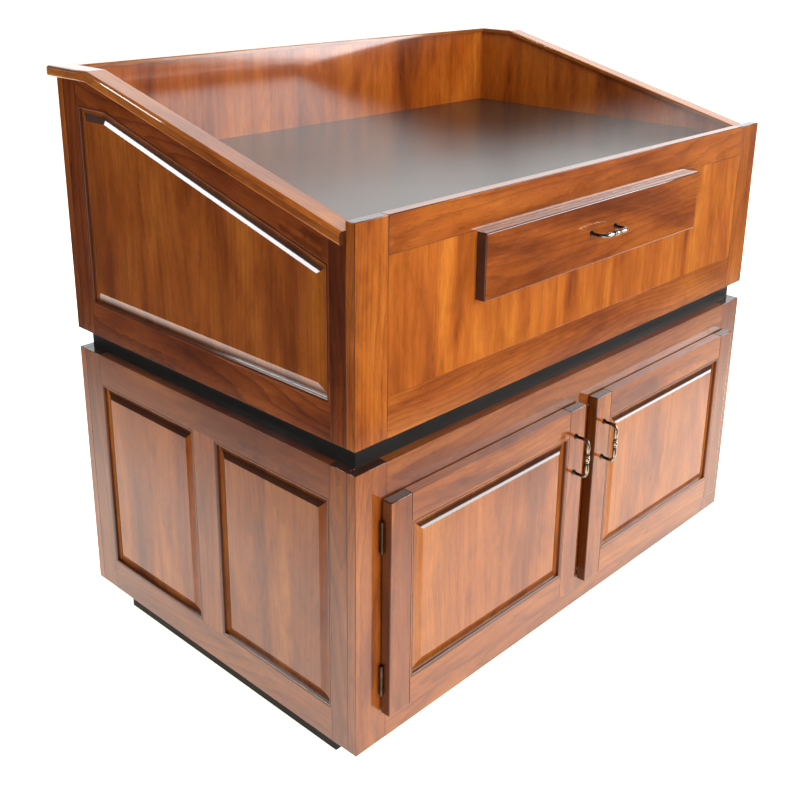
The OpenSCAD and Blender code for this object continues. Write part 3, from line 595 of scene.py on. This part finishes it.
CAD_MATERIAL = {
    "plinth_frame": PAINT, "reveal_frame": PAINT, "worksurface": LAMINATE, "lower_top": TOP,
    "lower_floor": PLY_FLAT, "left_shelf": PLY_FLAT, "right_shelf": PLY_FLAT, "upper_floor": PLY_FLAT,
    "drawer_bottom": PLY_FLAT, "worksurface_cleats": PLY_FLAT, "centre_partition": PLY_SIDE,
    "drawer_hangers": PLY_SIDE, "drawer_sides": PLY_SIDE, "drawer_box_front": PLY_CROSS,
    "drawer_box_back": PLY_CROSS, "upper_front_panel": UPPER, "back_lining": LINING_X,
    "left_lining": LINING_Y, "right_lining": LINING_Y, "hinge_frame_leaves": BRONZE,
    "hinge_pins": BRONZE, "left_door_leaves": BRONZE, "right_door_leaves": BRONZE,
    "left_door_bumpers": CLEAR, "right_door_bumpers": CLEAR,
}
for n, o in frame["nodes"].items():
    m = CAD_MATERIAL.get(n)
    if m is None and slot_of[n] == "zinc_steel":
        m = ZINC
    if m is not None:
        o.data.materials.clear()
        o.data.materials.append(m)

# ---- The lower cabinet's frames and panels, and the upper body's back ----

stile, mid0, mid1 = 70.0, (W - 63) / 2, (W + 63) / 2
rail0, rail1 = LZ0 + 72, LZ1 - 73
p = Piece()
p.board(front, 0, stile, LZ0, LZ1, "z", bevel=0.7)
p.board(front, W - stile, W, LZ0, LZ1, "z", bevel=0.7)
p.board(front, stile, W - stile, LZ0, rail0, "u")
p.board(front, stile, W - stile, rail1, LZ1, "u")
p.board(front, mid0, mid1, rail0, rail1, "z")
p.make("lower_front_boards", "lower_front_frame", WOOD)

low_v0, low_v1 = LZ0 + 70, LZ1 - 66


def panelled(wall, node_frame, node_panels, stiles, z0, z1, v0, v1):
    """A wall of stiles, two rails and raised panels, from z0 to z1, its panels from v0 to v1.
    stiles are (start, end) pairs along the wall."""
    f, q = Piece(), Piece()
    first, last = stiles[0], stiles[-1]
    f.board(wall, first[0], first[1] - STICK, z0, z1, "z", bevel=0.6)
    f.board(wall, last[0] + STICK, last[1], z0, z1, "z", bevel=0.6)
    f.board(wall, first[1] - STICK, last[0] + STICK, z0, v0 - STICK, "u")
    f.board(wall, first[1] - STICK, last[0] + STICK, v1 + STICK, z1, "u")
    for s0, s1 in stiles[1:-1]:
        f.board(wall, s0 + STICK, s1 - STICK, v0 - STICK, v1 + STICK, "z")
    for before, after in zip(stiles, stiles[1:]):
        hole = rect(before[1], after[0], v0, v1)
        add_sticking(f, wall, hole)
        add_panel(q, wall, hole, "z")
    f.make(node_frame + "_boards", node_frame, WOOD)
    q.make(node_panels + "_raised", node_panels, PANEL)


u1, u4 = 56.0, SIDE - 46
u2 = (u1 + u4 - 72) / 2
side_stiles = [(0, u1), (u2, u2 + 72), (u4, SIDE)]
for wall, side in ((left, "left"), (right, "right")):
    panelled(wall, f"lower_{side}_frame", f"lower_{side}_panels", side_stiles, LZ0, LZ1, low_v0, low_v1)
bay = (W - 150 - 144) / 3
back_stiles = [(0, 75), (75 + bay, 147 + bay), (147 + 2 * bay, 219 + 2 * bay), (W - 75, W)]
panelled(back, "lower_back_frame", "lower_back_panels", back_stiles, LZ0, LZ1, low_v0, low_v1)
panelled(back, "upper_back_frame", "upper_back_panel", [(0, 75), (W - 75, W)],
         UZ0, WZ1, UZ0 + 70, WZ1 - 51)

# ---- Upper body ----

p = Piece()
p.board(front, 0, stile, UZ0, FZ1, "z", bevel=1.0)
p.board(front, W - stile, W, UZ0, FZ1, "z", bevel=1.0)
p.board(front, stile, W - stile, UZ0, UZ0 + 71, "u")
p.board(front, stile, W - stile, FZ1 - 62, FZ1, "u", bevel=1.0)
p.make("upper_front_boards", "upper_front_frame", WOOD)

# Each side wall's top is level from the back to KINK_U, and falls at SLOPE from there
SLOPE = math.radians(14.3)
KINK_U = 96.0


def top_at(u):
    return WZ1 - max(0.0, u - KINK_U) * math.tan(SLOPE)


window = [(48, UZ0 + 70), (SIDE - 43, UZ0 + 70), (SIDE - 43, UZ0 + 283), (129, UZ0 + 439),
          (48, UZ0 + 439)]
# the edges of the frame's boards, where its moulded edge begins
seam = inset(window, -STICK)
(rear_u, low_z), (front_u, _) = seam[:2]
for wall, side in ((left, "left"), (right, "right")):
    p = Piece()
    p.board(wall, 0, rear_u, UZ0, WZ1, "z", bevel=0.6)
    p.prism(wall, [(front_u, UZ0), (SIDE, UZ0), (SIDE, top_at(SIDE)), (front_u, top_at(front_u))],
            0, T, "z", bevel=0.6)
    p.board(wall, rear_u, front_u, UZ0, low_z, "u")
    p.prism(wall, [seam[4], seam[3], seam[2], (seam[2][0], top_at(seam[2][0])), (KINK_U, WZ1),
                   (seam[4][0], WZ1)], 0, T, -math.degrees(SLOPE))
    add_sticking(p, wall, window)
    p.make(f"upper_{side}_boards", f"upper_{side}_frame", DARK)
    q = Piece()
    add_panel(q, wall, window, "z", seed=5)
    q.make(f"upper_{side}_raised", f"upper_{side}_panel", PANEL)

# ---- Cap moulding: rounded outer edges, an eased inner edge, mitred at the corners ----

# Reach outside and inside the wall's outer face, thickness, and depth of the rabbet inside
OUT, IN, CT, LAP = 12.0, 30.0, 20.0, 12.0


def cap_profile():
    """The cap's section as (outward, height) points, round from its rabbet."""
    low, high, ease = 3, 6, 1.8
    pts = [(-T, LAP), (-T, 0.0)]
    pts += [(OUT - low + low * math.sin(a), low - low * math.cos(a)) for a in QUARTER]
    pts += [(OUT - high + high * math.cos(a), CT - high + high * math.sin(a)) for a in QUARTER]
    pts += [(-IN + ease - ease * math.sin(a), CT - ease + ease * math.cos(a)) for a in QUARTER[::2]]
    return pts + [(-IN, LAP)]


def cap(name, node, stations, mirror=False):
    """stations give, for each (out, height) of the profile, a point and how far along the length it lies."""
    prof = cap_profile()
    n = len(prof)
    p = Piece()
    place, tone = p.log("u")
    pts, grain = [], []
    for st in stations:
        for o, h in prof:
            (x, y, z), t = st(o, h)
            pts.append(world(W - x if mirror else x, y, z))
            grain.append(place(t, o, h, 0, 0))
    faces = tube_faces(len(stations), n)
    flat = [a[0] == b[0] or a[1] == b[1] for a, b in zip(prof, prof[1:] + prof[:1])]
    smooth = [not flat[i % n] for i in range(len(faces) - 2)] + [False, False]
    p.add(pts, faces, grain, tone, [0.0] * len(faces), smooth)
    p.make(name, node, CAP_PAINTED_LIGHT)


# Where the caps' two lengths meet, as a distance from the front
KY = D - T - KINK_U


def cap_rear(o, h):
    return (-o, D + o, WZ1 + h), D + o - KY


def cap_kink(o, h):
    return (-o, KY - h * math.tan(SLOPE / 2), WZ1 + h), 0.0


def cap_front(o, h):
    t = (KY - T - h * math.sin(SLOPE)) / math.cos(SLOPE)
    return (-o, T, WZ1 - t * math.sin(SLOPE) + h * math.cos(SLOPE)), -t


cap("left_cap_moulding", "left_cap", [cap_rear, cap_kink, cap_front])
cap("right_cap_moulding", "right_cap", [cap_rear, cap_kink, cap_front], mirror=True)
cap("rear_cap_moulding", "rear_cap", [lambda o, h: ((-o, D + o, WZ1 + h), -o),
                                      lambda o, h: ((W + o, D + o, WZ1 + h), W + o)])

# ---- Drawer front and doors ----

dlo, dhi = mm("drawer_front")
p = Piece()
p.prism(lambda u, h, z: world(u, dlo[1] + h, z), rect(dlo[0], dhi[0], dlo[2], dhi[2]), 0, T, "u",
        round_front=2.2)
p.make("drawer_front_board", "drawer_front", WOOD)

# Width and thickness of the doors' boards
DW = 57.0
elo, ehi = mm("left_door_frame")
DT = ehi[1] - elo[1]
x0, x1, z0, z1 = elo[0], ehi[0], elo[2], ehi[2]
inner = DW - STICK


def door_wall(u, h, z):
    return world(u, elo[1] + h, z)


for side in ("left", "right"):
    wall = door_wall if side == "left" else mirrored(door_wall)
    p = Piece()
    for a0, a1 in ((x0, x0 + inner), (x1 - inner, x1)):
        p.board(wall, a0, a1, z0, z1, "z", h1=DT, bevel=1.6, segments=3, dark_sides=True)
    for b0, b1 in ((z0, z0 + inner), (z1 - inner, z1)):
        p.board(wall, x0 + inner, x1 - inner, b0, b1, "u", h1=DT)
    hole = rect(x0 + DW, x1 - DW, z0 + DW, z1 - DW)
    add_sticking(p, wall, hole, DT)
    p.make(f"{side}_door_boards", f"{side}_door_frame", WOOD)
    q = Piece()
    add_panel(q, wall, hole, "z")
    q.make(f"{side}_door_raised", f"{side}_door_panel", PANEL)

# ---- Bow pulls ----


def pull(name, node, place):
    """place turns distances along the pull, out from the face and across the pull into a point."""
    half, reach, ring = 38.0, 28.5, 20
    path = [(half, 0.0), (half, 1.2), (half, 2.4), (half, 4.0), (half + 0.2, 8.0), (half + 0.4, 13.0),
            (half + 0.3, 18.0), (half - 0.4, 22.0), (half - 2.4, 25.6), (half - 5.4, 27.6), (half - 9, 28.4)]
    rad = [5.6, 5.6, 4.4, 3.3, 3.0, 3.1, 3.4, 3.7, 3.8, 3.7, 3.7]
    # the turned beads of the grip, as (distance from the middle, radius)
    mid = [(27, 4.1), (24.5, 4.35), (21, 4.35), (17, 4.05), (13, 3.6), (10, 3.25), (8.2, 3.1),
           (7.6, 3.3), (7.4, 4.1), (6.8, 4.5), (6.0, 4.5), (5.4, 4.1), (5.2, 3.4), (4.6, 3.3),
           (4.3, 3.9), (3.4, 4.6), (2.0, 4.92), (0.0, 5.0)]
    path += [(s, reach) for s, r in mid]
    rad += [r for s, r in mid]
    path += [(-s, o) for s, o in path[-2::-1]]
    rad += rad[-2::-1]
    verts, wear = [], []
    for i, ((s, o), r) in enumerate(zip(path, rad)):
        a = path[max(0, i - 1)]
        b = path[min(len(path) - 1, i + 1)]
        t = Vector((b[0] - a[0], b[1] - a[1])).normalized()
        side = Vector((-t.y, t.x))
        for k in range(ring):
            c = 2 * math.pi * k / ring
            ds, do = side.x * r * math.cos(c), side.y * r * math.cos(c)
            verts.append(place(s + ds, max(o + do, 0.0), r * math.sin(c)))
            # the thick parts away from the face are rubbed bright
            wear.append(min(1.0, max(0.0, (r - 3.0) / 1.5)) if o > 6 else 0.25)
    faces = tube_faces(len(path), ring)
    me = bpy.data.meshes.new(name)
    me.from_pydata([tuple(v) for v in verts], [], faces)
    me.polygons.foreach_set("use_smooth", [True] * (len(faces) - 2) + [False] * 2)
    write_attribute(me, "wear", "FLOAT", "POINT", "value", wear)
    place_piece(name, node, me, PULL)


for side in ("left", "right"):
    lo, hi = mm(f"{side}_door_pull")
    cx, cz, face = (lo[0] + hi[0]) / 2, (lo[2] + hi[2]) / 2, hi[1]
    pull(f"{side}_door_bow_pull", f"{side}_door_pull",
         lambda s, o, w, cx=cx, cz=cz, face=face: world(cx + w, face - o, cz + s))
lo, hi = mm("drawer_pull")
cx, cz, face = (lo[0] + hi[0]) / 2, (lo[2] + hi[2]) / 2, hi[1]
pull("drawer_bow_pull", "drawer_pull", lambda s, o, w: world(cx + s, face - o, cz + w))

# ---- Floor, light and camera ----

FLOOR_HALF = 40
WALL_RADIUS = 39
WALL_DEPTH = 60


def studio_mesh(name, build, constants):
    """A glowing surface round the object. build fills a bmesh."""
    bm = bmesh.new()
    build(bm)
    me = bpy.data.meshes.new(name)
    bm.to_mesh(me)
    bm.free()
    s = Shader(name)
    s.constants(constants)
    me.materials.append(s.material)
    return add_object(name, me)


floor = studio_mesh(
    "studio_floor",
    lambda bm: bmesh.ops.create_grid(bm, x_segments=1, y_segments=1, size=FLOOR_HALF),
    {"Base Color": (0.90, 0.87, 0.82, 1), "Roughness": 0.9, "Specular IOR Level": 0.1,
     "Emission Color": (1.0, 0.93, 0.82, 1), "Emission Strength": 1.2})

# a pale wall round the studio, for views that look past the floor; only the camera sees it
studio_wall = studio_mesh(
    "studio_wall",
    lambda bm: bmesh.ops.create_cone(bm, cap_ends=False, segments=96, radius1=WALL_RADIUS,
                                     radius2=WALL_RADIUS, depth=WALL_DEPTH),
    {"Base Color": (0.9, 0.9, 0.9, 1), "Emission Color": (1.0, 1.0, 1.0, 1), "Emission Strength": 0.95})
studio_wall.visible_diffuse = False
studio_wall.visible_glossy = False
studio_wall.visible_transmission = False
studio_wall.visible_shadow = False

scene = bpy.context.scene
scene.world = bpy.data.worlds.new("studio")
scene.world.use_nodes = True
background = scene.world.node_tree.nodes["Background"]
background.inputs["Color"].default_value = (1.0, 1.0, 1.0, 1)
background.inputs["Strength"].default_value = 0.07


def softbox(name, at, to, size, energy, glossy=True, diffuse=True):
    d = bpy.data.lights.new(name, "AREA")
    d.shape = "RECTANGLE"
    d.size, d.size_y = size
    d.energy = energy
    o = add_object(name, d)
    o.location = at
    o.rotation_mode = "QUATERNION"
    o.rotation_quaternion = (Vector(to) - Vector(at)).to_track_quat("-Z", "Y")
    o.visible_camera = False
    o.visible_glossy = glossy
    o.visible_diffuse = diffuse


# Each black card is 40 m long and reaches full black 0.6 m in
CARD_LENGTH = 40
CARD_FADE = 0.6
CARD_HEIGHT = 0.004


def flag(name, clear0, black0, clear1, black1):
    """A soft-edged black card on the floor, outside the picture, that only reflections see.
    Its two long edges each run from a corner where it is clear to one where it is black."""
    me = bpy.data.meshes.new(name)
    me.from_pydata([(*corner, CARD_HEIGHT) for corner in (clear0, black0, black1, clear1)], [],
                   [(0, 1, 2, 3)])
    uv = me.uv_layers.new(name="fade")
    for i, t in enumerate((0.0, 1.0, 1.0, 0.0)):
        uv.data[i].uv = (t, 0)
    s = Shader(name)
    s.constants({"Base Color": (0.01, 0.01, 0.01, 1), "Roughness": 1.0, "Specular IOR Level": 0.0})
    fade = s.nodes.new("ShaderNodeUVMap")
    fade.uv_map = "fade"
    sep = s.nodes.new("ShaderNodeSeparateXYZ")
    s.links.new(fade.outputs["UV"], sep.inputs[0])
    s.drive("Alpha", s.calc("MULTIPLY", sep.outputs["X"], CARD_LENGTH / CARD_FADE, True))
    me.materials.append(s.material)
    o = add_object(name, me)
    o.visible_camera = False
    o.visible_diffuse = False
    o.visible_shadow = False
    o.visible_transmission = False


flag("front_flag", (-1.0, -0.80), (-1.0, -0.80 - CARD_LENGTH), (42, -0.80), (42, -0.80 - CARD_LENGTH))
flag("left_flag", (-0.95, -0.8), (-0.95 - CARD_LENGTH, -0.8), (-0.95, 42), (-0.95 - CARD_LENGTH, 42))

# With glossy off a light only lights the wood, and with diffuse off it only shows in the lacquer
softbox("overhead", (0.0, 0.0, 4.2), (0.0, 0.0, 0.0), (5.0, 5.0), 165, glossy=False)
softbox("front_right", (0.2, -5.0, 2.6), (-0.1, 0.0, 0.5), (2.6, 2.6), 250, glossy=False)
softbox("rear_left_strip", (-3.4, 2.15, 2.45), (-0.6, 0.0, 0.9), (1.9, 1.4), 150, diffuse=False)
softbox("front_right_strip", (3.2, -3.2, 1.8), (0.0, -0.4, 0.9), (3.2, 2.6), 300, diffuse=False)
softbox("backdrop", (3.6, 3.9, 2.9), (0.0, 0.0, 1.2), (7.0, 4.8), 160, diffuse=False)

CAMERA_AT = Vector((-1.6658, -1.45675, 1.4042))
LENS = 49.85
SHIFT_Y = -0.1255
AZIMUTH, ELEVATION, ROLL = math.radians(46.63), math.radians(18.79), math.radians(0.64)

cam = add_object("camera", bpy.data.cameras.new("camera"))
cam.data.lens = LENS
cam.data.sensor_width = 36
cam.data.shift_y = SHIFT_Y
cam.data.clip_start, cam.data.clip_end = 0.05, 100
forward = Vector((math.sin(AZIMUTH) * math.cos(ELEVATION), math.cos(AZIMUTH) * math.cos(ELEVATION),
                  -math.sin(ELEVATION)))
level = forward.cross(Vector((0, 0, 1))).normalized()
plumb = level.cross(forward)
across = level * math.cos(ROLL) + plumb * math.sin(ROLL)
up = plumb * math.cos(ROLL) - level * math.sin(ROLL)
cam.matrix_world = Matrix((*zip(across, up, -forward, CAMERA_AT), (0, 0, 0, 1)))
scene.camera = cam
scene.view_settings.view_transform = "Standard"
